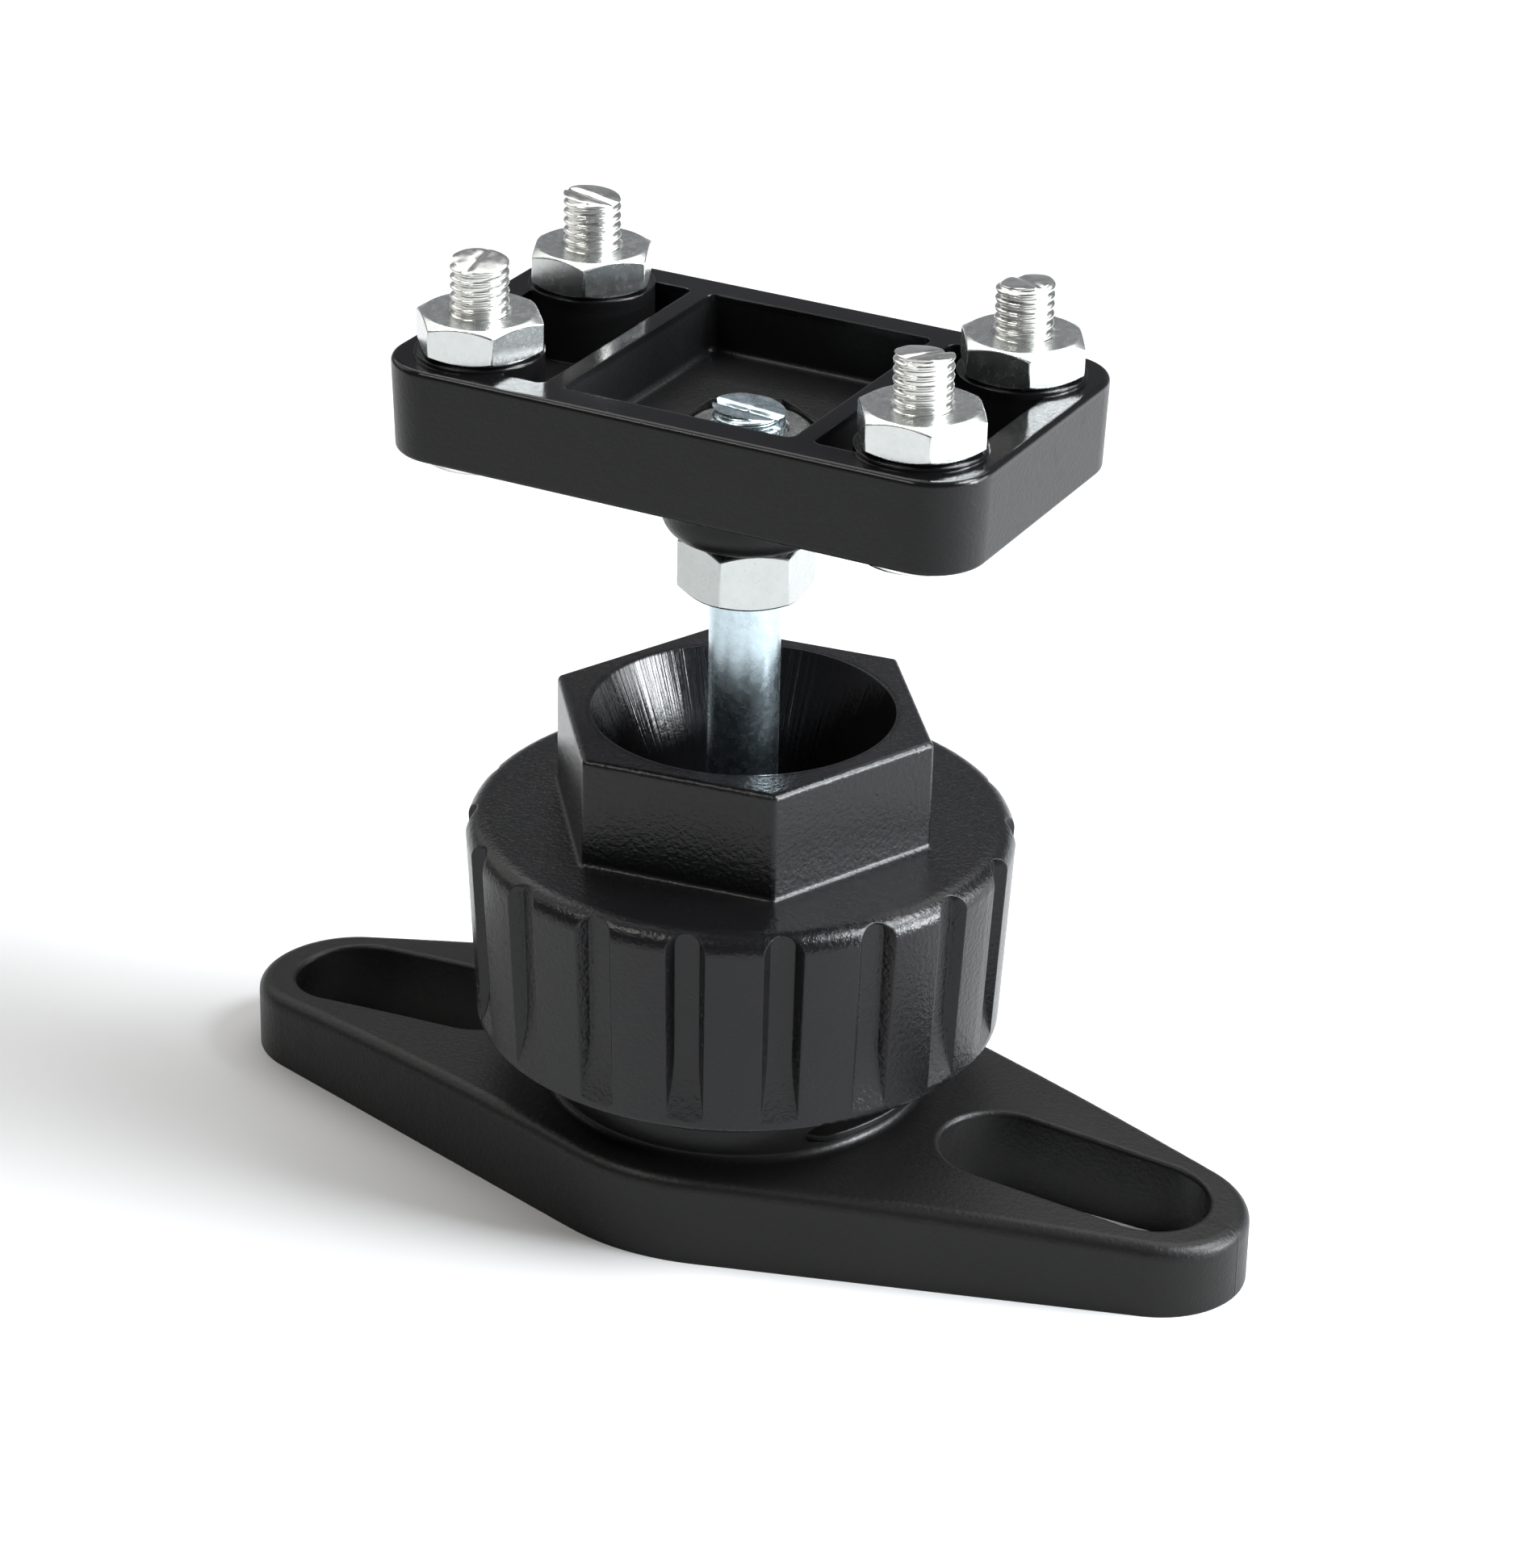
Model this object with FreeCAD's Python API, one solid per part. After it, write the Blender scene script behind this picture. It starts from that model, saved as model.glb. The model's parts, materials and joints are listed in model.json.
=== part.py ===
import FreeCAD, Part
import math
import os

# Ball-jointed mounting bracket for a small survey or monitoring target.
# Frame: origin in the middle of the base's underside, +X along the base's long axis,
# +Z up along the stud in its upright position. All sizes in millimetres.

# --- base: a slotted diamond-shaped foot with a threaded collar ---
BASE_HALF_LENGTH = 47.6
BASE_HALF_WIDTH = 19.6
BASE_END_RADIUS = 7.75          # round tips of the diamond
BASE_SIDE_RADIUS = 20.0         # round corners at the middle
BASE_CROWN = 8.3                # height of the crowned top if it reached the axis
BASE_TIP_HEIGHT = 6.2           # height of the top at the tips
BASE_TOP_FILLET = 1.2
SLOT_CENTRE_X = 32.1
SLOT_LENGTH = 24.0              # end to end
SLOT_WIDTH = 10.6
SLOT_EDGE_FILLET = 0.4
COLLAR_FOOT_RADIUS = 16.0
COLLAR_FOOT_FILLET = 0.6
COLLAR_THREAD_RADIUS = 17.2     # outside thread, at its major diameter
COLLAR_THREAD_BOTTOM = 14.0
COLLAR_TOP = 25.0
SEAT_BORE_RADIUS = 14.0
SEAT_BORE_FLOOR = 11.0

# --- ball, its two seats and the stud ---
BALL_CENTRE_Z = 24.0
BALL_RADIUS = 10.0
SEAT_CLEARANCE = 0.2            # ball to seat
SLIDING_GAP = 0.3               # seats in their bores
SEAT_CHAMFER = 0.5
LOWER_SEAT_TOP = 21.5
UPPER_SEAT_BOTTOM = 25.2
UPPER_SEAT_TOP = 31.1
UPPER_SEAT_HOLE_RADIUS = 7.8
FACE_GAP = 0.1                  # flat faces that press together
STUD_RADIUS = 3.0               # M6
STUD_BOTTOM = 17.0
STUD_TIP = 69.6
TIP_CHAMFER = 0.4

# --- clamp nut: fluted ring with a hexagon and a funnel on top ---
RING_BOTTOM = 14.4
RING_TOP = 32.8
RING_BOTTOM_RADIUS = 22.35
RING_SIDE_RADIUS = 23.2         # at the top of the tapered side
RING_TOP_FILLET = 1.8
RING_BOTTOM_FILLET = 0.5
RING_THREAD_CLEARANCE = 0.25
RING_THREAD_TOP = 26.2
RING_MOUTH_CHAMFER = 0.8
SEAT_POCKET_TOP = 31.2
FLUTE_COUNT = 18
FLUTE_WIDTH = 3.2               # at the mouth
FLUTE_FLOOR_WIDTH = 2.0
FLUTE_DEPTH = 0.9               # at the foot
FLUTE_DEPTH_TOP = 1.1
FLUTE_RUN_OUT = 15.2            # height where the flutes fade into the side
FLUTE_RUN_OUT_LENGTH = 6.5      # the floor curves out over this height
FLUTE_TOP = 33.1                # runs out through the ring's top fillet
HEX_CIRCUMRADIUS = 16.85
HEX_TOP = 42.4
HEX_TURN = 7.0                  # one hexagon corner from +X, degrees
HEX_EDGE_FILLET = 0.5
HEX_FOOT_FILLET = 0.4
FUNNEL_MOUTH_RADIUS = 12.8
FUNNEL_THROAT_RADIUS = 7.9

# --- head plate: a tray with two ribs, four corner bosses and a centre boss ---
PLATE_LENGTH = 53.3
PLATE_WIDTH = 31.0
PLATE_BOTTOM = 65.15
PLATE_TOP = 73.15
PLATE_CORNER_RADIUS = 5.0
PLATE_DRAFT = 0.3               # the underside is this much smaller all round
PLATE_RIM_FILLET = 0.45
PLATE_WALL = 3.05
PLATE_FLOOR = 68.0
POCKET_CORNER_RADIUS = 0.8
POCKET_FLOOR_FILLET = 0.6
RIB_INNER_X = 10.35
RIB_THICKNESS = 1.7
SCREW_SPACING_X = 39.8
SCREW_SPACING_Y = 18.2
CORNER_BOSS_RADIUS = 5.3
CORNER_BOSS_RISE = 0.4          # above the rim
CENTRE_BOSS_RADIUS = 7.1
CENTRE_BOSS_BOTTOM = 58.35
CENTRE_BOSS_FILLET = 2.2
NUT_RECESS_FLOOR = 62.7
NUT_RECESS_CLEARANCE = 0.1
HOLE_CLEARANCE = 0.1

# --- fasteners ---
M6_ACROSS_FLATS = 10.0
M6_HEIGHT = 5.0
JAM_NUT_TURN = 36.0             # one corner from +X, degrees
CAPTIVE_NUT_TURN = 30.0
SCREW_RADIUS = 2.415            # number 10, at the thread's major diameter
SHANK_RADIUS = 2.0              # the thread's root, where the plate and nut hide the stem
SCREW_TIP = 81.3
SCREW_NUT_ACROSS_FLATS = 9.5
SCREW_NUT_HEIGHT = 3.2
SCREW_NUT_BOTTOM = PLATE_TOP + CORNER_BOSS_RISE
SCREW_NUT_TURNS = {"front_left": 11.0, "back_left": 53.0, "front_right": 3.0, "back_right": 1.0}
HEAD_RADIUS = 4.7
HEAD_HEIGHT = 1.9
HEAD_CROWN = 1.1                # the domed part of the pan head
RECESS_SPAN = 5.0               # cross recess in the head
RECESS_BLADE = 1.1
RECESS_DEPTH = 1.2
NUT_CHAMFER_ANGLE = 30.0
NUT_FACE_SHARE = 0.96           # round face of a nut against its flats
THREAD_GAP = 0.02               # nut bore over the thread's major radius

Z_AXIS = FreeCAD.Vector(0, 0, 1)
OVERSHOOT = 2.0                 # how far cutting tools run past the faces
OVERLAP = 1.0                   # how far pieces to be fused run into each other
CLOSE = 1e-3                    # lengths that count as equal


def point(x, y, z=0.0):
    return FreeCAD.Vector(x, y, z)


def polar(radius, angle, x=0.0, y=0.0, z=0.0):
    turn = math.radians(angle)
    return point(x + radius * math.cos(turn), y + radius * math.sin(turn), z)


def cylinder(radius, bottom, top, x=0.0, y=0.0):
    return Part.makeCylinder(radius, top - bottom, point(x, y, bottom))


def turned(profile):
    """Revolve a closed (radius, height) outline about the Z axis.

    A third value in a point makes it the middle of a round corner: the outline then
    passes through it on an arc from the point before to the point after.
    """
    edges = []
    count = len(profile)
    for k in range(count):
        here, after = profile[k], profile[(k + 1) % count]
        if len(here) == 3:
            continue
        start = point(here[0], 0, here[1])
        if len(after) == 3:
            end = profile[(k + 2) % count]
            arc = Part.Arc(start, point(after[0], 0, after[1]), point(end[0], 0, end[1]))
            edges.append(arc.toShape())
        else:
            edges.append(Part.makeLine(start, point(after[0], 0, after[1])))
    return Part.Face(Part.Wire(edges)).revolve(point(0, 0, 0), Z_AXIS, 360)


def round_corner(centre_radius, centre_height, radius, angle):
    """Middle point of a round corner, for turned()."""
    turn = math.radians(angle)
    return centre_radius + radius * math.cos(turn), centre_height + radius * math.sin(turn), "round"


def hexagon(across_flats, bottom, top, corner_angle, x=0.0, y=0.0):
    radius = across_flats / math.sqrt(3)
    corners = [polar(radius, corner_angle + 60 * k, x, y, bottom) for k in range(7)]
    return Part.Face(Part.makePolygon(corners)).extrude(point(0, 0, top - bottom))


def rounded_rectangle(length, width, radius, z, x=0.0, y=0.0):
    """Closed wire with four round corners, centred on (x, y)."""
    half_x = length / 2 - radius
    half_y = width / 2 - radius
    edges = []
    centres = [(half_x, half_y), (-half_x, half_y), (-half_x, -half_y), (half_x, -half_y)]
    ends = []
    for k, (cx, cy) in enumerate(centres):
        start, middle, end = [polar(radius, 90 * k + turn, x + cx, y + cy, z) for turn in (0, 45, 90)]
        if ends:
            edges.append(Part.makeLine(ends[-1], start))
        edges.append(Part.Arc(start, middle, end).toShape())
        ends.append(end)
    first = polar(radius, 0, x + half_x, y + half_y, z)
    edges.append(Part.makeLine(ends[-1], first))
    return Part.Wire(edges)


def edges_at_height(shape, height, within=math.inf):
    """Edges that lie wholly in the horizontal plane at this height, this close to the Z axis."""
    chosen = []
    for edge in shape.Edges:
        box = edge.BoundBox
        level = abs(box.ZMin - height) < CLOSE and abs(box.ZMax - height) < CLOSE
        if level and max(-box.XMin, box.XMax, -box.YMin, box.YMax) < within:
            chosen.append(edge)
    return chosen


# --- base -------------------------------------------------------------------

def diamond_outline():
    """Two round tips and two round side corners joined by straight tangents."""
    tip_x = BASE_HALF_LENGTH - BASE_END_RADIUS
    side_y = BASE_HALF_WIDTH - BASE_SIDE_RADIUS
    reach = math.hypot(tip_x, side_y)
    normal = math.degrees(math.acos((BASE_SIDE_RADIUS - BASE_END_RADIUS) / reach)
                          - math.atan2(side_y, tip_x))
    arcs = [
        (tip_x, 0.0, BASE_END_RADIUS, -normal, normal),
        (0.0, side_y, BASE_SIDE_RADIUS, normal, 180 - normal),
        (-tip_x, 0.0, BASE_END_RADIUS, 180 - normal, 180 + normal),
        (0.0, -side_y, BASE_SIDE_RADIUS, 180 + normal, 360 - normal),
    ]
    edges = []
    last = None
    for x, y, radius, start, end in arcs:
        points = [polar(radius, turn, x, y) for turn in (start, (start + end) / 2, end)]
        if last is not None:
            edges.append(Part.makeLine(last, points[0]))
        edges.append(Part.Arc(*points).toShape())
        last = points[2]
    edges.append(Part.makeLine(last, polar(BASE_END_RADIUS, -normal, tip_x, 0.0)))
    return Part.Wire(edges)


def slot_cutter(side):
    end_radius = SLOT_WIDTH / 2 - CLOSE
    outline = rounded_rectangle(SLOT_LENGTH, SLOT_WIDTH, end_radius, -OVERSHOOT, side * SLOT_CENTRE_X)
    return Part.Face(outline).extrude(point(0, 0, BASE_CROWN + 2 * OVERSHOOT))


def crowned_top():
    """Large ball whose upper side is the crowned top; its seam and poles are far from the foot."""
    drop = BASE_CROWN - BASE_TIP_HEIGHT
    radius = (BASE_HALF_LENGTH ** 2 + drop ** 2) / (2 * drop)
    solid = Part.makeSphere(radius)
    solid.rotate(point(0, 0, 0), point(1, 0, 0), 90)
    solid.rotate(point(0, 0, 0), point(0, 1, 0), 90)
    solid.translate(point(0, 0, BASE_CROWN - radius))
    return solid


def slot_lips(foot):
    """Upper edges of both slots."""
    lips = []
    for edge in foot.Edges:
        box = edge.BoundBox
        along = abs(abs(box.Center.x) - SLOT_CENTRE_X) < SLOT_LENGTH / 2 + CLOSE
        across = abs(box.Center.y) < SLOT_WIDTH / 2 + CLOSE
        if along and across and box.ZMin > BASE_TIP_HEIGHT / 2:
            lips.append(edge)
    return lips


def collar():
    step = COLLAR_THREAD_RADIUS - COLLAR_FOOT_RADIUS
    return turned([
        (0, BASE_CROWN / 2),
        (COLLAR_FOOT_RADIUS, BASE_CROWN / 2),
        (COLLAR_FOOT_RADIUS, COLLAR_THREAD_BOTTOM - step / 2),
        (COLLAR_THREAD_RADIUS, COLLAR_THREAD_BOTTOM),
        (COLLAR_THREAD_RADIUS, COLLAR_TOP - step / 2),
        (COLLAR_THREAD_RADIUS - step / 2, COLLAR_TOP),
        (0, COLLAR_TOP),
    ])


def collar_foot_edges(body):
    """The circle where the collar stands on the crowned top."""
    chosen = []
    for edge in body.Edges:
        box = edge.BoundBox
        on_top = BASE_TIP_HEIGHT < box.ZMin and box.ZMax < BASE_CROWN
        if on_top and abs(max(-box.XMin, box.XMax, -box.YMin, box.YMax) - COLLAR_FOOT_RADIUS) < CLOSE:
            chosen.append(edge)
    return chosen


def base_plate():
    foot = Part.Face(diamond_outline()).extrude(point(0, 0, BASE_CROWN))
    foot = foot.common(crowned_top())
    rim = [edge for edge in foot.Edges if edge.BoundBox.ZMin > BASE_TIP_HEIGHT / 2]
    foot = foot.makeFillet(BASE_TOP_FILLET, rim)
    for side in (-1, 1):
        foot = foot.cut(slot_cutter(side))
    foot = foot.makeFillet(SLOT_EDGE_FILLET, slot_lips(foot))
    body = foot.fuse(collar()).removeSplitter()
    body = body.makeFillet(COLLAR_FOOT_FILLET, collar_foot_edges(body))
    return body.cut(cylinder(SEAT_BORE_RADIUS, SEAT_BORE_FLOOR, COLLAR_TOP + OVERSHOOT))


# --- ball joint -------------------------------------------------------------

def seat_sphere():
    return Part.makeSphere(BALL_RADIUS + SEAT_CLEARANCE, point(0, 0, BALL_CENTRE_Z))


def lower_seat():
    outer = SEAT_BORE_RADIUS - SLIDING_GAP
    bottom = SEAT_BORE_FLOOR + FACE_GAP
    cup = turned([
        (0, bottom),
        (outer - SEAT_CHAMFER, bottom),
        (outer, bottom + SEAT_CHAMFER),
        (outer, LOWER_SEAT_TOP),
        (0, LOWER_SEAT_TOP),
    ])
    return cup.cut(seat_sphere())


def upper_seat():
    outer = SEAT_BORE_RADIUS - SLIDING_GAP
    ring = turned([
        (0, UPPER_SEAT_BOTTOM),
        (outer, UPPER_SEAT_BOTTOM),
        (outer, UPPER_SEAT_TOP - SEAT_CHAMFER),
        (outer - SEAT_CHAMFER, UPPER_SEAT_TOP),
        (0, UPPER_SEAT_TOP),
    ])
    ring = ring.cut(seat_sphere())
    return ring.cut(cylinder(UPPER_SEAT_HOLE_RADIUS, BALL_CENTRE_Z, UPPER_SEAT_TOP + OVERSHOOT))


def ball():
    solid = Part.makeSphere(BALL_RADIUS, point(0, 0, BALL_CENTRE_Z))
    return solid.cut(cylinder(STUD_RADIUS, STUD_BOTTOM, BALL_CENTRE_Z + BALL_RADIUS + OVERSHOOT))


def stud():
    return turned([
        (0, STUD_BOTTOM),
        (STUD_RADIUS, STUD_BOTTOM),
        (STUD_RADIUS, STUD_TIP - TIP_CHAMFER),
        (STUD_RADIUS - TIP_CHAMFER, STUD_TIP),
        (0, STUD_TIP),
    ])


# --- clamp nut --------------------------------------------------------------

def flute_cutter(angle):
    """An upright channel with sloping sides, a round top and a floor that curves out at the foot."""
    reach = FLUTE_DEPTH + OVERSHOOT
    half = FLUTE_FLOOR_WIDTH / 2
    spread = (FLUTE_WIDTH - FLUTE_FLOOR_WIDTH) / 2 / FLUTE_DEPTH
    wide = half + spread * reach
    arch_z = FLUTE_TOP - FLUTE_WIDTH / 2
    section = [point(0, -half), point(reach, -wide), point(reach, wide), point(0, half), point(0, -half)]
    channel = Part.Face(Part.makePolygon(section)).extrude(point(0, 0, arch_z - RING_BOTTOM))
    arch = Part.makeCone(half, wide, reach, point(0, 0, arch_z - RING_BOTTOM), point(1, 0, 0))
    bend_z = FLUTE_RUN_OUT + FLUTE_RUN_OUT_LENGTH - RING_BOTTOM
    bend = FLUTE_RUN_OUT_LENGTH ** 2 / (2 * FLUTE_DEPTH) + FLUTE_DEPTH / 2
    disc = Part.makeCylinder(bend, 4 * wide, point(bend, -2 * wide, bend_z), point(0, 1, 0))
    upper = Part.makeBox(2 * bend, 4 * wide, RING_TOP, point(0, -2 * wide, bend_z))
    tool = channel.fuse(arch).common(disc.fuse(upper))
    floor_bottom = RING_BOTTOM_RADIUS - FLUTE_DEPTH
    floor_top = RING_SIDE_RADIUS - FLUTE_DEPTH_TOP
    lean = math.degrees(math.atan2(floor_top - floor_bottom, RING_TOP - RING_TOP_FILLET - RING_BOTTOM))
    tool.rotate(point(0, 0, 0), point(0, 1, 0), lean)
    tool.translate(point(floor_bottom, 0, RING_BOTTOM))
    tool.rotate(point(0, 0, 0), Z_AXIS, angle)
    return tool


def clamp_nut():
    side_top = RING_TOP - RING_TOP_FILLET
    low = RING_BOTTOM_FILLET
    ring = turned([
        (0, RING_BOTTOM),
        (RING_BOTTOM_RADIUS - low, RING_BOTTOM),
        round_corner(RING_BOTTOM_RADIUS - low, RING_BOTTOM + low, low, -45),
        (RING_BOTTOM_RADIUS, RING_BOTTOM + low),
        (RING_SIDE_RADIUS, side_top),
        round_corner(RING_SIDE_RADIUS - RING_TOP_FILLET, side_top, RING_TOP_FILLET, 45),
        (RING_SIDE_RADIUS - RING_TOP_FILLET, RING_TOP),
        (0, RING_TOP),
    ])
    for k in range(FLUTE_COUNT):
        ring = ring.cut(flute_cutter(HEX_TURN + k * 360 / FLUTE_COUNT))
    spanner_hex = hexagon(HEX_CIRCUMRADIUS * math.sqrt(3), RING_TOP - OVERSHOOT, HEX_TOP, HEX_TURN)
    upright = [edge for edge in spanner_hex.Edges if edge.BoundBox.ZLength > HEX_TOP - RING_TOP]
    spanner_hex = spanner_hex.makeFillet(HEX_EDGE_FILLET, upright)
    spanner_hex = spanner_hex.makeFillet(HEX_EDGE_FILLET, edges_at_height(spanner_hex, HEX_TOP))
    body = ring.fuse(spanner_hex)
    body = body.makeFillet(HEX_FOOT_FILLET, edges_at_height(body, RING_TOP, HEX_CIRCUMRADIUS))
    bore = COLLAR_THREAD_RADIUS + RING_THREAD_CLEARANCE
    hollow = turned([
        (0, RING_BOTTOM - OVERSHOOT),
        (bore + RING_MOUTH_CHAMFER, RING_BOTTOM - OVERSHOOT),
        (bore + RING_MOUTH_CHAMFER, RING_BOTTOM),
        (bore, RING_BOTTOM + RING_MOUTH_CHAMFER),
        (bore, RING_THREAD_TOP),
        (SEAT_BORE_RADIUS, RING_THREAD_TOP),
        (SEAT_BORE_RADIUS, SEAT_POCKET_TOP),
        (FUNNEL_THROAT_RADIUS, SEAT_POCKET_TOP),
        (FUNNEL_MOUTH_RADIUS, HEX_TOP),
        (FUNNEL_MOUTH_RADIUS, HEX_TOP + OVERSHOOT),
        (0, HEX_TOP + OVERSHOOT),
    ])
    return body.cut(hollow)


# --- head plate -------------------------------------------------------------

def screw_places():
    """Name and (x, y) of each corner screw."""
    for side, x in (("left", -SCREW_SPACING_X / 2), ("right", SCREW_SPACING_X / 2)):
        for row, y in (("front", -SCREW_SPACING_Y / 2), ("back", SCREW_SPACING_Y / 2)):
            yield f"{row}_{side}", x, y


def pocket_cutter(left, right):
    width = PLATE_WIDTH - 2 * PLATE_WALL
    wire = rounded_rectangle(right - left, width, POCKET_CORNER_RADIUS, PLATE_FLOOR, (left + right) / 2)
    tool = Part.Face(wire).extrude(point(0, 0, PLATE_TOP - PLATE_FLOOR + OVERSHOOT))
    return tool.makeFillet(POCKET_FLOOR_FILLET, edges_at_height(tool, PLATE_FLOOR))


def head_plate():
    under = rounded_rectangle(PLATE_LENGTH - 2 * PLATE_DRAFT, PLATE_WIDTH - 2 * PLATE_DRAFT,
                              PLATE_CORNER_RADIUS - PLATE_DRAFT, PLATE_BOTTOM)
    rim = rounded_rectangle(PLATE_LENGTH, PLATE_WIDTH, PLATE_CORNER_RADIUS, PLATE_TOP)
    tray = Part.makeLoft([under, rim], True, True)
    outer_edges = edges_at_height(tray, PLATE_TOP) + edges_at_height(tray, PLATE_BOTTOM)
    tray = tray.makeFillet(PLATE_RIM_FILLET, outer_edges)
    wall_x = PLATE_LENGTH / 2 - PLATE_WALL
    rib_outer = RIB_INNER_X + RIB_THICKNESS
    for left, right in ((-wall_x, -rib_outer), (-RIB_INNER_X, RIB_INNER_X), (rib_outer, wall_x)):
        tray = tray.cut(pocket_cutter(left, right))
    for _, x, y in screw_places():
        boss_top = PLATE_TOP + CORNER_BOSS_RISE
        tray = tray.fuse(cylinder(CORNER_BOSS_RADIUS, PLATE_FLOOR - OVERLAP, boss_top, x, y))
    boss = cylinder(CENTRE_BOSS_RADIUS, CENTRE_BOSS_BOTTOM, PLATE_BOTTOM + OVERLAP)
    boss = boss.makeFillet(CENTRE_BOSS_FILLET, edges_at_height(boss, CENTRE_BOSS_BOTTOM))
    tray = tray.fuse(boss)
    recess_flats = M6_ACROSS_FLATS + 2 * NUT_RECESS_CLEARANCE
    tray = tray.cut(hexagon(recess_flats, NUT_RECESS_FLOOR, PLATE_FLOOR + OVERSHOOT, CAPTIVE_NUT_TURN))
    tray = tray.cut(cylinder(STUD_RADIUS + HOLE_CLEARANCE, CENTRE_BOSS_BOTTOM - OVERSHOOT, PLATE_FLOOR))
    hole = SCREW_RADIUS + HOLE_CLEARANCE
    for _, x, y in screw_places():
        tray = tray.cut(cylinder(hole, PLATE_BOTTOM - OVERSHOOT, PLATE_TOP + OVERSHOOT, x, y))
    return tray.removeSplitter()


# --- fasteners --------------------------------------------------------------

def hex_nut(across_flats, height, thread_radius, bottom, corner_angle, x=0.0, y=0.0):
    """Hexagon nut chamfered on both faces, with its bore at the thread's major diameter."""
    corner = across_flats / math.sqrt(3)
    flat = across_flats / 2 * NUT_FACE_SHARE
    drop = (corner - flat) * math.tan(math.radians(NUT_CHAMFER_ANGLE))
    barrel = turned([(0, 0), (flat, 0), (corner, drop), (corner, height - drop), (flat, height), (0, height)])
    barrel.translate(point(x, y, bottom))
    nut = hexagon(across_flats, bottom, bottom + height, corner_angle, x, y).common(barrel)
    return nut.cut(cylinder(thread_radius + THREAD_GAP, bottom - OVERSHOOT, bottom + height + OVERSHOOT, x, y))


def pan_head_screw(x, y):
    """Pan head below the plate, with a cross recess, and a stem that ends above the nut."""
    rest = HEAD_HEIGHT - HEAD_CROWN
    stem = turned([
        (0, PLATE_BOTTOM - rest),
        (HEAD_RADIUS, PLATE_BOTTOM - rest),
        (HEAD_RADIUS, PLATE_BOTTOM),
        (SHANK_RADIUS, PLATE_BOTTOM),
        (SHANK_RADIUS, SCREW_NUT_BOTTOM + SCREW_NUT_HEIGHT),
        (SCREW_RADIUS, SCREW_NUT_BOTTOM + SCREW_NUT_HEIGHT),
        (SCREW_RADIUS, SCREW_TIP - TIP_CHAMFER),
        (SCREW_RADIUS - TIP_CHAMFER, SCREW_TIP),
        (0, SCREW_TIP),
    ])
    dome_radius = (HEAD_RADIUS ** 2 + HEAD_CROWN ** 2) / (2 * HEAD_CROWN)
    face = PLATE_BOTTOM - HEAD_HEIGHT
    dome = Part.makeSphere(dome_radius, point(0, 0, face + dome_radius))
    dome = dome.common(cylinder(HEAD_RADIUS, face - OVERSHOOT, PLATE_BOTTOM - rest))
    screw = stem.fuse(dome).removeSplitter()
    for length, width in ((RECESS_SPAN, RECESS_BLADE), (RECESS_BLADE, RECESS_SPAN)):
        blade = Part.makeBox(length, width, RECESS_DEPTH + OVERSHOOT,
                             point(-length / 2, -width / 2, face - OVERSHOOT))
        screw = screw.cut(blade)
    screw.translate(point(x, y, 0))
    return screw


def build():
    jam_bottom = CENTRE_BOSS_BOTTOM - M6_HEIGHT
    parts = {
        "base_plate": base_plate(),
        "lower_seat": lower_seat(),
        "upper_seat": upper_seat(),
        "clamp_nut": clamp_nut(),
        "ball": ball(),
        "stud": stud(),
        "jam_nut": hex_nut(M6_ACROSS_FLATS, M6_HEIGHT, STUD_RADIUS, jam_bottom, JAM_NUT_TURN),
        "captive_nut": hex_nut(M6_ACROSS_FLATS, M6_HEIGHT, STUD_RADIUS, NUT_RECESS_FLOOR, CAPTIVE_NUT_TURN),
        "head_plate": head_plate(),
    }
    for name, x, y in screw_places():
        parts[f"screw_{name}"] = pan_head_screw(x, y)
        parts[f"nut_{name}"] = hex_nut(SCREW_NUT_ACROSS_FLATS, SCREW_NUT_HEIGHT, SCREW_RADIUS,
                                       SCREW_NUT_BOTTOM, SCREW_NUT_TURNS[name], x, y)
    return parts


os.makedirs("parts", exist_ok=True)
for node, shape in build().items():
    assert len(shape.Solids) == 1, node
    shape.Solids[0].exportStep(f"parts/{node}.step")
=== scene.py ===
import json
import math
import bmesh
import bpy
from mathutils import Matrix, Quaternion, Vector, noise


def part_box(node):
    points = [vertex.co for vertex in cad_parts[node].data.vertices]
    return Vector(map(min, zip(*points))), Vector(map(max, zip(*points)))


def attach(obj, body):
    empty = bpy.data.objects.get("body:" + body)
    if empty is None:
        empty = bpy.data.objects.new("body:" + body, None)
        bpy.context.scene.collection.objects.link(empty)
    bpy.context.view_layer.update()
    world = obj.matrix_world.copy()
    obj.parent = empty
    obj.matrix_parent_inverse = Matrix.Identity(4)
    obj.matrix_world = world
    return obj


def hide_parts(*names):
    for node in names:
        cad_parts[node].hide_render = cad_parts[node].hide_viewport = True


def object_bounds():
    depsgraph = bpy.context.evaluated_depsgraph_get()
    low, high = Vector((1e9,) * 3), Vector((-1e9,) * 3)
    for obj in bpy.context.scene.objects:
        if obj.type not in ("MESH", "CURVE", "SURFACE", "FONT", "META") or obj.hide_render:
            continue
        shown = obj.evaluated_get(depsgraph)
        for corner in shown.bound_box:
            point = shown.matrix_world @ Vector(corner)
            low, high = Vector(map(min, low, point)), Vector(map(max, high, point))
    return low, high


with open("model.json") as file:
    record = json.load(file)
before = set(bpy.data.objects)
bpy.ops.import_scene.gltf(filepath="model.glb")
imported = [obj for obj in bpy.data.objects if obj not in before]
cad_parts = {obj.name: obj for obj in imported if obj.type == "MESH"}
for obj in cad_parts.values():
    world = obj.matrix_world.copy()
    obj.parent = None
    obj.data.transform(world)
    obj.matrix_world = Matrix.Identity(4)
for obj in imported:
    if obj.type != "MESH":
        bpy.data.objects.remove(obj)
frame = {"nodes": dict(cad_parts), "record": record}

MM = 0.001
CAD_LOW, CAD_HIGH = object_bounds()

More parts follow.
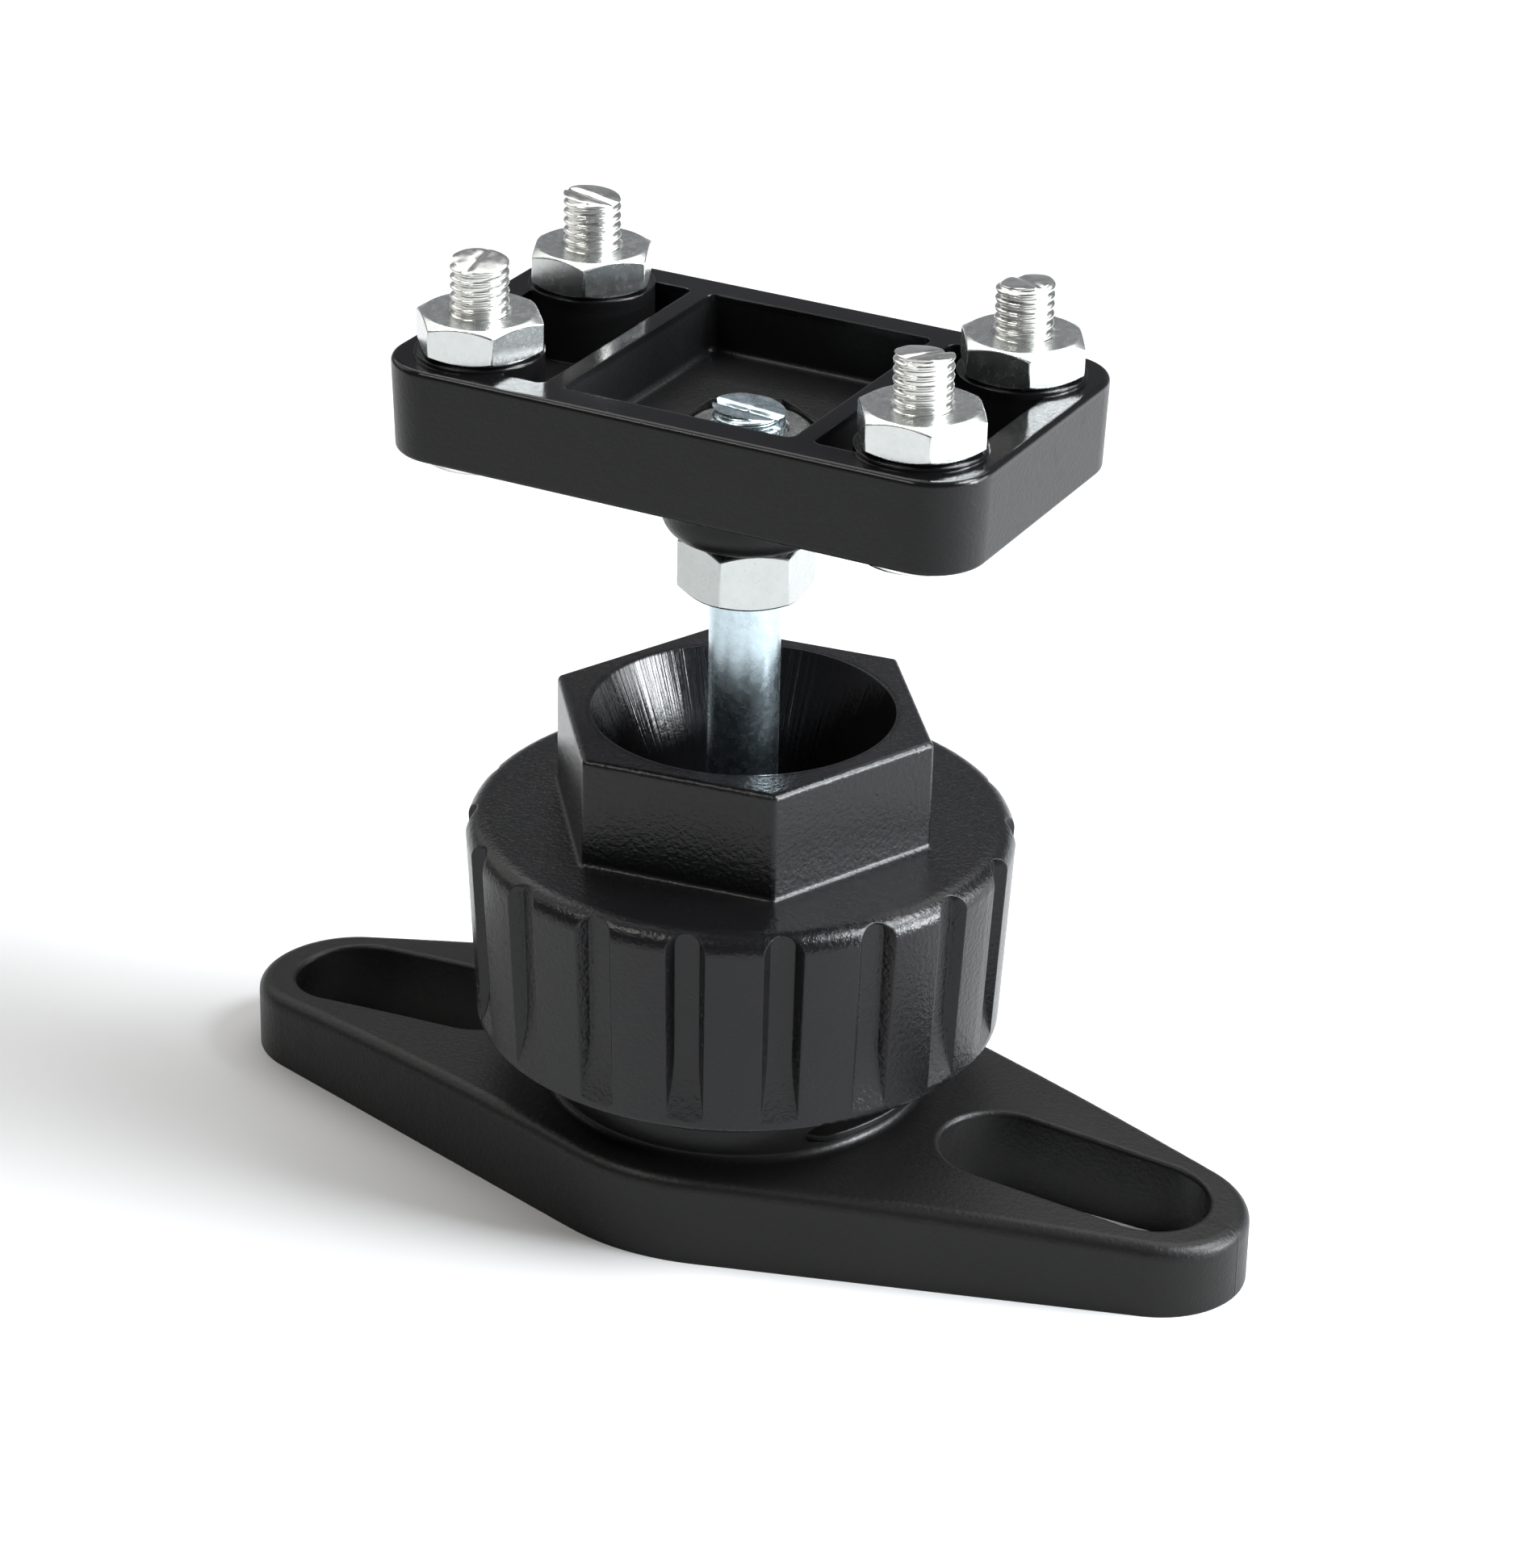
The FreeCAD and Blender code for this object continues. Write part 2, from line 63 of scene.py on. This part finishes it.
# Camera: azimuth and elevation round the part, roll, distance and aim, in degrees and metres.
CAMERA_AZIMUTH = 27.4
CAMERA_ELEVATION = 26.16
CAMERA_ROLL = 1.28
CAMERA_DISTANCE = 0.4152
CAMERA_AIM = Vector((0.0020, 0.0010, 0.0354))
CAMERA_LENS = 113.5

# Threads and cropped ends of the screws and the stud.
SCREW_PITCH = 0.8 * MM
SCREW_THREAD_DEPTH = 0.42 * MM
SCREW_HEAD_HEIGHT = 1.9 * MM
SCREW_HEAD_LAP = 0.2 * MM       # the CAD stem is cut this far above the head's face
SCREW_CROWN = 0.12 * MM
STUD_PITCH = 1.0 * MM
STUD_THREAD_DEPTH = 0.5 * MM
CREST_SHARE = 0.14              # flat part of a thread's crest, as a share of half a pitch
ROWS_PER_PITCH = 12
TIP_RINGS = (0.97, 0.9, 0.8, 0.65, 0.5, 0.35, 0.2, 0.08)
TIP_TEAR = 0.05 * MM
TIP_BELOW_TOP = 0.3 * MM        # keeps the lip of a cropped end inside the solid's height

# Nuts.
NUT_FACE_SHARE = 0.965          # round face of a nut against its flats
NUT_CHAMFER_SLOPE = math.tan(math.radians(28.0))
NUT_SINK = 0.35 * MM            # countersink of the bore
NUT_COLUMNS = 96
NUT_TURNS = {"front_left": 11.0, "back_left": 53.0, "front_right": 3.0, "back_right": 1.0}
SCREW_NUT_ACROSS_FLATS = 9.5 * MM
SCREW_NUT_BORE = 2.25 * MM
M6_ACROSS_FLATS = 10.0 * MM
M6_BORE = 2.9 * MM
JAM_NUT_TURN = 36.0
CAPTIVE_NUT_TURN = 30.0

# Coarse thread at the foot of the base's collar.
COLLAR_PITCH = 2.0 * MM
COLLAR_START_TURN = -41.0       # degrees round from +X
COLLAR_TURNS = 1.9
COLLAR_START_HEIGHT = 9.9 * MM
COLLAR_ROOT = 15.7 * MM
COLLAR_CREST = 17.1 * MM
COLLAR_GROWTH = 5.0             # degrees over which the ridge rises from the plain foot
COLLAR_STEPS_PER_TURN = 120

# Where the mouldings are polished, and the weld line across the base's right tip.
COLLAR_POLISH_RADIUS = 17.5 * MM
COLLAR_POLISH_BOTTOM = 8.3 * MM
FUNNEL_POLISH_RADIUS = 13.1 * MM
FUNNEL_POLISH_BOTTOM = 31.3 * MM
RIM_POLISH_DEPTH = 0.9 * MM
WELD_LINE_Y = -0.55 * MM
WELD_LINE_LENGTH = 3.6 * MM
SOFT_EDGE = 0.22 * MM

FLOOR_HALF_SIZE = 3.0
FLOOR_TONE = 0.56
HORIZON_TONE = (0.34, 0.35, 0.37, 1)
ZENITH_TONE = (0.10, 0.10, 0.11, 1)
LIGHT_AIM = Vector((0, 0, 0.035))
COOL_WHITE = (0.94, 0.97, 1.0)
WARM_WHITE = (1.0, 0.98, 0.93)

# Name, azimuth from the camera, elevation, distance, width, height, power, colour.
LIGHTS = (
    ("window_right", 84.0, 12.0, 0.9, 0.75, 0.30, 8.0, COOL_WHITE),
    ("window_core", 76.0, 11.0, 0.85, 0.22, 0.26, 8.5, COOL_WHITE),
    ("window_top", 78.0, 46.0, 0.9, 0.45, 0.35, 17.0, COOL_WHITE),
    ("overhead", 172.0, 62.0, 1.0, 1.1, 0.8, 7.8, (1, 1, 1)),
    ("front_left", -62.0, 50.0, 1.0, 0.5, 0.10, 3.0, WARM_WHITE),
    ("back_left", -125.0, 34.0, 1.2, 1.0, 0.7, 3.0, WARM_WHITE),
)

CORNERS = ("front_left", "back_left", "front_right", "back_right")


# --- small helpers ----------------------------------------------------------

def centre_and_size(node):
    low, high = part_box(node)
    return (Vector(low) + Vector(high)) / 2, Vector(high) - Vector(low)


def mesh_object(name, verts, faces, sharp_angle=35.0):
    mesh = bpy.data.meshes.new(name)
    mesh.from_pydata([tuple(v) for v in verts], [], faces)
    mesh.validate()
    mesh.shade_smooth()
    mesh.set_sharp_from_angle(angle=math.radians(sharp_angle))
    piece = bpy.data.objects.new(name, mesh)
    bpy.context.scene.collection.objects.link(piece)
    return piece


def grid_faces(rows, columns, first=0):
    """Quads between rings of vertices, each ring closed on itself."""
    faces = []
    for row in range(rows - 1):
        for column in range(columns):
            a = first + row * columns + column
            b = first + row * columns + (column + 1) % columns
            faces.append((a, b, b + columns, a + columns))
    return faces


def roll_edges(piece, name, width, angle):
    bevel = piece.modifiers.new(name, "BEVEL")
    bevel.width = width
    bevel.segments = 2
    bevel.limit_method = "ANGLE"
    bevel.angle_limit = math.radians(angle)


def finish_piece(piece, body, material):
    piece.data.materials.clear()
    piece.data.materials.append(material)
    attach(piece, body)


# --- materials --------------------------------------------------------------

class Nodes:
    """A material and short calls that add nodes to it."""

    def __init__(self, name):
        self.material = bpy.data.materials.new(name)
        self.material.use_nodes = True
        self.tree = self.material.node_tree
        self.shader = self.tree.nodes["Principled BSDF"]
        self.place = self.tree.nodes.new("ShaderNodeTexCoord").outputs["Object"]

    def link(self, source, target):
        self.tree.links.new(source, target)

    def math(self, operation, first, second=None):
        node = self.tree.nodes.new("ShaderNodeMath")
        node.operation = operation
        for socket, value in zip(node.inputs, (first, second)):
            if value is None:
                continue
            if isinstance(value, (int, float)):
                socket.default_value = value
            else:
                self.link(value, socket)
        return node.outputs[0]

    def noise(self, scale, detail=2.0, roughness=0.5, vector=None):
        node = self.tree.nodes.new("ShaderNodeTexNoise")
        node.inputs["Scale"].default_value = scale
        node.inputs["Detail"].default_value = detail
        node.inputs["Roughness"].default_value = roughness
        self.link(vector or self.place, node.inputs["Vector"])
        return node.outputs["Fac"]

    def between(self, value, low, high, from_low=0.0, from_high=1.0):
        node = self.tree.nodes.new("ShaderNodeMapRange")
        node.clamp = True
        node.inputs["From Min"].default_value = from_low
        node.inputs["From Max"].default_value = from_high
        node.inputs["To Min"].default_value = low
        node.inputs["To Max"].default_value = high
        self.link(value, node.inputs["Value"])
        return node.outputs["Result"]

    def ramp(self, value, stops):
        node = self.tree.nodes.new("ShaderNodeValToRGB")
        elements = node.color_ramp.elements
        while len(elements) < len(stops):
            elements.new(0.5)
        for element, (place, colour) in zip(elements, stops):
            element.position = place
            element.color = (*colour, 1.0)
        self.link(value, node.inputs["Fac"])
        return node.outputs["Color"]

    def soft_edges(self, radius):
        """Normals that turn smoothly over every edge, as a moulded edge does."""
        node = self.tree.nodes.new("ShaderNodeBevel")
        node.samples = 6
        node.inputs["Radius"].default_value = radius
        return node.outputs["Normal"]

    def bump(self, height, strength, distance, normal=None):
        node = self.tree.nodes.new("ShaderNodeBump")
        node.inputs["Strength"].default_value = strength
        node.inputs["Distance"].default_value = distance
        self.link(height, node.inputs["Height"])
        if normal is not None:
            self.link(normal, node.inputs["Normal"])
        return node.outputs["Normal"]

    def product(self, *masks):
        """Product of several 0 to 1 masks."""
        total = masks[0]
        for mask in masks[1:]:
            total = self.math("MULTIPLY", total, mask)
        return total

    def blend(self, mask, first, second):
        """first where the mask is 0 and second where it is 1; either may be a number."""
        node = self.tree.nodes.new("ShaderNodeMix")
        self.link(mask, node.inputs[0])
        for socket, value in ((node.inputs[2], first), (node.inputs[3], second)):
            if isinstance(value, (int, float)):
                socket.default_value = value
            else:
                self.link(value, socket)
        return node.outputs[0]

    def axes(self):
        node = self.tree.nodes.new("ShaderNodeSeparateXYZ")
        self.link(self.place, node.inputs[0])
        return node.outputs["X"], node.outputs["Y"], node.outputs["Z"]

    def radius(self):
        x, y, _ = self.axes()
        squares = self.math("ADD", self.math("MULTIPLY", x, x), self.math("MULTIPLY", y, y))
        return self.math("SQRT", squares)

    def above(self, value, edge, soft=0.0002):
        return self.between(value, 0.0, 1.0, edge - soft, edge + soft)

    def below(self, value, edge, soft=0.0002):
        return self.between(value, 1.0, 0.0, edge - soft, edge + soft)

    def streaks(self, around, up):
        """Noise drawn out along the Z axis: so many streaks per radian, so much change per metre up."""
        x, y, z = self.axes()
        join = self.tree.nodes.new("ShaderNodeCombineXYZ")
        self.link(self.math("MULTIPLY", self.math("ARCTAN2", y, x), around), join.inputs["X"])
        self.link(self.math("MULTIPLY", z, up), join.inputs["Y"])
        return self.noise(1.0, 3.0, 0.6, join.outputs["Vector"])


def black_plastic(name, tone, rough, grain, grain_depth, specular=0.3, glossy=None, gloss_rough=0.2):
    """Moulded black plastic: grain from the mould, soft flow marks and a few dull scuffs.

    glossy(nodes) may give a mask of the places that came from a polished part of the mould.
    """
    nodes = Nodes(name)
    cloud = nodes.noise(60.0, 3.0)
    dark = tuple(channel * 0.75 for channel in tone)
    light = tuple(channel * 1.3 for channel in tone)
    nodes.link(nodes.ramp(cloud, [(0.3, dark), (0.7, light)]), nodes.shader.inputs["Base Color"])
    speckle = nodes.noise(grain * 0.8, 2.0)
    scuffs = nodes.between(nodes.noise(220.0, 6.0, 0.7), 0.0, 0.10, 0.58, 0.75)
    spread = nodes.math("ADD", nodes.between(speckle, rough - 0.05, rough + 0.05), scuffs)
    strength = 1.0
    if glossy is not None:
        mask = glossy(nodes)
        polish = nodes.between(speckle, gloss_rough - 0.04, gloss_rough + 0.06)
        spread = nodes.blend(mask, spread, polish)
        strength = nodes.between(mask, 1.0, 0.25)
    nodes.link(spread, nodes.shader.inputs["Roughness"])
    nodes.shader.inputs["Specular IOR Level"].default_value = specular
    height = nodes.math("MULTIPLY", nodes.noise(grain, 3.0, 0.6), strength)
    fine = nodes.bump(height, 0.6, grain_depth, nodes.soft_edges(SOFT_EDGE))
    nodes.normal = nodes.bump(nodes.noise(90.0, 1.0), 0.5, 0.00004, fine)
    nodes.link(nodes.normal, nodes.shader.inputs["Normal"])
    return nodes


def zinc_plate(name, tone, rough=(0.16, 0.28), mottle_scale=700.0, mottle_depth=0.9, fine=0.3, dent=0.25):
    """Bright zinc: a faint crystal mottle, fine scratches and small dull spots."""
    nodes = Nodes(name)
    nodes.shader.inputs["Metallic"].default_value = 1.0
    dull = tuple(channel * mottle_depth for channel in tone)
    mottle = nodes.noise(mottle_scale, 5.0, 0.7)
    nodes.link(nodes.ramp(mottle, [(0.34, dull), (0.62, tone)]), nodes.shader.inputs["Base Color"])
    nodes.link(nodes.between(nodes.noise(1500.0, 3.0), *rough, 0.35, 0.65), nodes.shader.inputs["Roughness"])
    skin = nodes.bump(nodes.noise(2600.0, 3.0, 0.6), fine, 0.000010)
    dents = nodes.bump(nodes.noise(650.0, 2.0), dent, 0.00002, skin)
    nodes.link(dents, nodes.shader.inputs["Normal"])
    return nodes.material


def base_material():
    """Satin foot; the collar is smoother, and a fine weld line crosses the right tip."""
    def collar(n):
        return n.product(n.below(n.radius(), COLLAR_POLISH_RADIUS),
                         n.above(n.axes()[2], COLLAR_POLISH_BOTTOM))

    nodes = black_plastic("base_black", (0.0044, 0.0042, 0.0042), 0.40, 2600.0, 0.00008, 0.25, collar, 0.30)
    x, y, _ = nodes.axes()
    slot_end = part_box("base_plate")[1][0] - WELD_LINE_LENGTH
    wander = nodes.math("MULTIPLY", nodes.noise(300.0, 2.0), 0.0003)
    off = nodes.math("ABSOLUTE", nodes.math("ADD", nodes.math("ADD", y, -WELD_LINE_Y), wander))
    line = nodes.product(nodes.below(off, 0.00010, 0.00006), nodes.above(x, slot_end, 0.0001))
    nodes.link(nodes.bump(line, 1.0, 0.00006, nodes.normal), nodes.shader.inputs["Normal"])
    return nodes.material


def nut_material():
    """Semi-gloss; the funnel inside is polished, with upright streaks."""
    def inside(n):
        return n.product(n.below(n.radius(), FUNNEL_POLISH_RADIUS),
                         n.above(n.axes()[2], FUNNEL_POLISH_BOTTOM))

    nodes = black_plastic("clamp_nut_black", (0.0036, 0.0036, 0.0040), 0.25, 2400.0, 0.00012, 0.30, inside,
                          0.15)
    ridges = nodes.math("MULTIPLY", nodes.streaks(26.0, 30.0), inside(nodes))
    nodes.link(nodes.bump(ridges, 0.8, 0.00010, nodes.normal), nodes.shader.inputs["Normal"])
    return nodes.material


def plate_material():
    """Satin sides; the rim, ribs and bosses are glossier on top."""
    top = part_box("head_plate")[1][2]

    def rim(n):
        return n.above(n.axes()[2], top - RIM_POLISH_DEPTH, 0.0003)

    return black_plastic("head_plate_black", (0.0038, 0.0038, 0.0040), 0.36, 2800.0, 0.00006, 0.25, rim,
                         0.12).material


def inner_material(name, tone):
    return black_plastic(name, tone, 0.3, 2500.0, 0.00001).material


# --- pieces -----------------------------------------------------------------

def thread_drop(phase):
    """Depth share of a thread at a phase of its pitch: flat crest, sloping flanks, round root."""
    away = abs(2.0 * (phase % 1.0) - 1.0)
    share = min(max((away - CREST_SHARE) / (1.0 - 2.0 * CREST_SHARE), 0.0), 1.0)
    return 1.0 - share * share * (3.0 - 2.0 * share)


def threaded_stem(radius, pitch, depth, bottom, tip, centre, smooth_until=None, columns=56, crown=0.0):
    """Vertices and faces of a stem with a real helical thread and a cropped end.

    tip(x, y) gives the height of the cropped end over the stem's own middle.
    """
    verts = []
    rows = int((tip(0.0, 0.0) - bottom) / pitch * ROWS_PER_PITCH)
    for row in range(rows + 1):
        for column in range(columns):
            turn = 2 * math.pi * column / columns
            x, y = math.cos(turn), math.sin(turn)
            top = tip(x * radius, y * radius)
            z = bottom + (top - bottom) * row / rows
            fade = 1.0
            if smooth_until is not None:
                fade = min(max((z - smooth_until) / (1.5 * pitch), 0.0), 1.0)
            r = radius - depth * fade * thread_drop(z / pitch - column / columns)
            verts.append((centre.x + x * r, centre.y + y * r, z))
    faces = grid_faces(rows + 1, columns)
    faces.append(tuple(reversed(range(columns))))
    edge = len(verts) - columns
    for share in TIP_RINGS:
        for column in range(columns):
            ex, ey, _ = verts[edge + column]
            x, y = (ex - centre.x) * share, (ey - centre.y) * share
            rise = crown * math.sqrt(max(1.0 - share * share, 0.0))
            verts.append((centre.x + x, centre.y + y, tip(x, y) + rise))
    faces += grid_faces(len(TIP_RINGS) + 1, columns, edge)
    last = len(verts) - columns
    verts.append((centre.x, centre.y, tip(0.0, 0.0) + crown))
    faces += [(last + c, last + (c + 1) % columns, len(verts) - 1) for c in range(columns)]
    return verts, faces


def cropped_tip(height, lean, direction, seed, groove=0.16):
    """A bolt end left by cutters: a leaning face with a pulled lip, a shallow groove and small tears."""
    turn = math.radians(direction)
    along = Vector((math.cos(turn), math.sin(turn)))

    def tip(x, y):
        run = x * along.x + y * along.y
        side = -x * along.y + y * along.x
        rough = noise.noise(Vector((x * 700.0 + seed, y * 700.0, seed))) * TIP_TEAR
        dip = math.exp(-((side - 0.3 * MM + run * 0.3) / (0.35 * MM)) ** 2) * groove * MM
        return height + run * lean + rough - dip - TIP_BELOW_TOP
    return tip


def mount_dims(name):
    return next(mount["dims"] for mount in frame["record"]["mounts"] if mount["name"] == name)


def screw_head(node, cut):
    """The CAD head of a screw, cut off level above its bearing face and closed."""
    head = bmesh.new()
    head.from_mesh(frame["nodes"][node].data)
    bmesh.ops.remove_doubles(head, verts=head.verts[:], dist=1e-6)
    sliced = bmesh.ops.bisect_plane(head, geom=head.verts[:] + head.edges[:] + head.faces[:],
                                    plane_co=(0, 0, cut), plane_no=(0, 0, 1), clear_outer=True)
    rim = [item for item in sliced["geom_cut"] if isinstance(item, bmesh.types.BMEdge)]
    bmesh.ops.edgeloop_fill(head, edges=rim)
    return head


def screw_piece(corner, seed):
    """The CAD pan head with a threaded, cropped stem in place of the plain one."""
    node = f"screw_{corner}"
    centre, _ = centre_and_size(node)
    low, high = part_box(node)
    radius = mount_dims("device_screws")["stud_r_mm"] * MM
    cut = low[2] + SCREW_HEAD_HEIGHT + SCREW_HEAD_LAP
    head = screw_head(node, cut)
    tip = cropped_tip(high[2], 0.10, 40.0 + 75.0 * seed, seed)
    verts, faces = threaded_stem(radius, SCREW_PITCH, SCREW_THREAD_DEPTH, cut - SCREW_HEAD_LAP, tip, centre,
                                 crown=SCREW_CROWN)
    added = [head.verts.new(v) for v in verts]
    for face in faces:
        head.faces.new([added[i] for i in face])
    mesh = bpy.data.meshes.new(f"bolt_{corner}")
    head.to_mesh(mesh)
    head.free()
    mesh.shade_smooth()
    mesh.set_sharp_from_angle(angle=math.radians(38.0))
    piece = bpy.data.objects.new(f"bolt_{corner}", mesh)
    bpy.context.scene.collection.objects.link(piece)
    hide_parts(node)
    finish_piece(piece, "head", ZINC_SCREW)
    return piece


def nut_section(outer, washer, bore, bottom, top):
    """(radius, height) points of an upright cut through a nut, up the outside from the bore."""
    drop = max(outer - washer, 0.0) * NUT_CHAMFER_SLOPE
    return ((bore, bottom + NUT_SINK), (bore + NUT_SINK, bottom), (washer, bottom), (outer, bottom + drop),
            (outer, top - drop), (washer, top), (bore + NUT_SINK, top), (bore, top - NUT_SINK))


def hex_nut_piece(name, node, across_flats, bore, corner_turn, body, material):
    """Hexagon nut with chamfered corners, rolled edges and a countersunk bore."""
    low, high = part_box(node)
    centre, _ = centre_and_size(node)
    flat = across_flats / 2
    sections = []
    for column in range(NUT_COLUMNS):
        off = (360.0 * column / NUT_COLUMNS - 30.0) % 60.0 - 30.0
        outer = flat / math.cos(math.radians(30.0 - abs(off)))
        sections.append(nut_section(outer, flat * NUT_FACE_SHARE, bore, low[2], high[2]))
    verts = []
    for ring in zip(*sections):
        for column, (r, z) in enumerate(ring):
            a = math.radians(360.0 * column / NUT_COLUMNS + corner_turn)
            verts.append((centre.x + r * math.cos(a), centre.y + r * math.sin(a), z))
    rings = len(sections[0])
    last = (rings - 1) * NUT_COLUMNS
    faces = grid_faces(rings, NUT_COLUMNS)
    for c in range(NUT_COLUMNS):
        after = (c + 1) % NUT_COLUMNS
        faces.append((last + c, last + after, after, c))
    piece = mesh_object(name, verts, faces, 22.0)
    roll_edges(piece, "rolled_edges", 0.10 * MM, 22.0)
    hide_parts(node)
    finish_piece(piece, body, material)
    return piece


def stud_piece():
    low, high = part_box("stud")
    centre, size = centre_and_size("stud")
    jam_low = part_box("jam_nut")[0][2]
    tip = cropped_tip(high[2], 0.09, 200.0, 9.0, 0.35)
    verts, faces = threaded_stem(size.x / 2, STUD_PITCH, STUD_THREAD_DEPTH, low[2], tip, centre,
                                 smooth_until=jam_low + 0.5 * MM, columns=64)
    piece = mesh_object("stud_rod", verts, faces, 40.0)
    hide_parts("stud")
    finish_piece(piece, "ball_stud", ZINC_STUD)
    return piece


def collar_thread():
    """The lower end of the collar's coarse thread, where it starts out of the plain foot."""
    section = ((COLLAR_ROOT, -0.95 * MM), (COLLAR_CREST, -0.30 * MM),
               (COLLAR_CREST, 0.30 * MM), (COLLAR_ROOT, 0.95 * MM))
    steps = int(COLLAR_TURNS * COLLAR_STEPS_PER_TURN)
    verts = []
    for step in range(steps + 1):
        along = step / steps * COLLAR_TURNS
        turn = math.radians(COLLAR_START_TURN + 360.0 * along)
        grown = min(along * 360.0 / COLLAR_GROWTH + 0.08, 1.0)
        height = COLLAR_START_HEIGHT + COLLAR_PITCH * along
        for r, rise in section:
            r = COLLAR_ROOT + (r - COLLAR_ROOT) * grown
            verts.append((r * math.cos(turn), r * math.sin(turn), height + rise * (0.6 + 0.4 * grown)))
    faces = [(0, 1, 2, 3), tuple(4 * steps + k for k in (3, 2, 1, 0))]
    for step in range(steps):
        for k in range(3):
            a = 4 * step + k
            faces.append((a, a + 4, a + 5, a + 1))
        a = 4 * step
        faces.append((a + 3, a + 7, a + 4, a))
    piece = mesh_object("collar_thread", verts, faces, 30.0)
    roll_edges(piece, "rolled_crest", 0.12 * MM, 30.0)
    finish_piece(piece, "base", CAD_MATERIALS["base_plate"])
    return piece


# --- stage ------------------------------------------------------------------

def add_floor():
    size = FLOOR_HALF_SIZE
    corners = [(-size, -size, 0), (size, -size, 0), (size, size, 0), (-size, size, 0)]
    floor = mesh_object("studio_floor", corners, [(0, 1, 2, 3)])
    floor.location.z = CAD_LOW.z
    material = bpy.data.materials.new("studio_floor")
    material.use_nodes = True
    shader = material.node_tree.nodes["Principled BSDF"]
    shader.inputs["Base Color"].default_value = (FLOOR_TONE, FLOOR_TONE, FLOOR_TONE, 1.0)
    shader.inputs["Roughness"].default_value = 0.9
    shader.inputs["Specular IOR Level"].default_value = 0.0
    floor.data.materials.append(material)


def add_world():
    """Dim surroundings: a little light near the horizon, almost black overhead."""
    world = bpy.data.worlds.new("studio")
    bpy.context.scene.world = world
    world.use_nodes = True
    tree = world.node_tree
    background = tree.nodes["Background"]
    coords = tree.nodes.new("ShaderNodeTexCoord")
    split = tree.nodes.new("ShaderNodeSeparateXYZ")
    tree.links.new(coords.outputs["Generated"], split.inputs[0])
    ramp = tree.nodes.new("ShaderNodeValToRGB")
    ramp.color_ramp.elements[0].position = 0.0
    ramp.color_ramp.elements[0].color = HORIZON_TONE
    ramp.color_ramp.elements[1].position = 0.5
    ramp.color_ramp.elements[1].color = ZENITH_TONE
    tree.links.new(split.outputs["Z"], ramp.inputs["Fac"])
    tree.links.new(ramp.outputs["Color"], background.inputs["Color"])
    background.inputs["Strength"].default_value = 1.0


def direction(azimuth, elevation):
    """Unit vector from the part towards a place seen from the camera's azimuth."""
    a = math.radians(CAMERA_AZIMUTH + azimuth)
    e = math.radians(elevation)
    return Vector((math.sin(a) * math.cos(e), -math.cos(a) * math.cos(e), math.sin(e)))


def add_light(name, azimuth, elevation, distance, width, height, power, colour):
    """Area light; azimuth is measured from the camera, positive to the camera's right."""
    data = bpy.data.lights.new(name, "AREA")
    data.shape = "RECTANGLE"
    data.size = width
    data.size_y = height
    data.energy = power
    data.color = colour
    light = bpy.data.objects.new(name, data)
    bpy.context.scene.collection.objects.link(light)
    light.location = LIGHT_AIM + direction(azimuth, elevation) * distance
    light.rotation_mode = "QUATERNION"
    light.rotation_quaternion = (LIGHT_AIM - light.location).to_track_quat("-Z", "Y")


def add_camera():
    data = bpy.data.cameras.new("camera")
    camera = bpy.data.objects.new("camera", data)
    bpy.context.scene.collection.objects.link(camera)
    back = direction(0.0, CAMERA_ELEVATION)
    camera.location = CAMERA_AIM + back * CAMERA_DISTANCE
    turn = (-back).to_track_quat("-Z", "Y")
    camera.rotation_mode = "QUATERNION"
    camera.rotation_quaternion = turn @ Quaternion((0, 0, 1), math.radians(CAMERA_ROLL))
    data.lens = CAMERA_LENS
    data.clip_start = 0.01
    data.clip_end = 20.0
    bpy.context.scene.camera = camera


# --- build ------------------------------------------------------------------

ZINC_SCREW = zinc_plate("zinc_screw", (0.82, 0.82, 0.79), (0.18, 0.26), mottle_depth=0.94, fine=0.1,
                        dent=0.06)
ZINC_NUT = zinc_plate("zinc_nut", (0.64, 0.66, 0.65), (0.24, 0.28), mottle_depth=0.93, fine=0.10, dent=0.04)
# Same zinc as the other nuts with a darker tone: painted shade that dims the jam nut's reflection of the
# floor.
ZINC_JAM_PAINTED_SHADE = zinc_plate("zinc_jam_painted_shade", (0.50, 0.52, 0.51), (0.22, 0.28), mottle_depth=0.93, fine=0.10, dent=0.04)
ZINC_STUD = zinc_plate("zinc_stud", (0.55, 0.66, 0.71), (0.24, 0.29), 1100.0, 0.84, 0.30, 0.06)

CAD_MATERIALS = {
    "base_plate": base_material(),
    "clamp_nut": nut_material(),
    "head_plate": plate_material(),
    "lower_seat": inner_material("seat_grey", (0.04, 0.04, 0.042)),
    "ball": inner_material("ball_black", (0.009, 0.009, 0.010)),
}
CAD_MATERIALS["upper_seat"] = CAD_MATERIALS["lower_seat"]

for node, material in CAD_MATERIALS.items():
    part = frame["nodes"][node]
    if not part.material_slots:
        part.data.materials.append(material)
    for material_slot in part.material_slots:
        material_slot.material = material

for order, corner in enumerate(CORNERS):
    screw_piece(corner, order + 1.0)
    hex_nut_piece(f"hexnut_{corner}", f"nut_{corner}", SCREW_NUT_ACROSS_FLATS, SCREW_NUT_BORE,
                  NUT_TURNS[corner], "head", ZINC_NUT)
hex_nut_piece("hexnut_jam", "jam_nut", M6_ACROSS_FLATS, M6_BORE, JAM_NUT_TURN, "ball_stud", ZINC_JAM_PAINTED_SHADE)
hex_nut_piece("hexnut_captive", "captive_nut", M6_ACROSS_FLATS, M6_BORE, CAPTIVE_NUT_TURN, "head", ZINC_NUT)
stud_piece()
collar_thread()

add_floor()
add_world()
for light in LIGHTS:
    add_light(*light)
add_camera()
bpy.context.scene.view_settings.view_transform = "Standard"
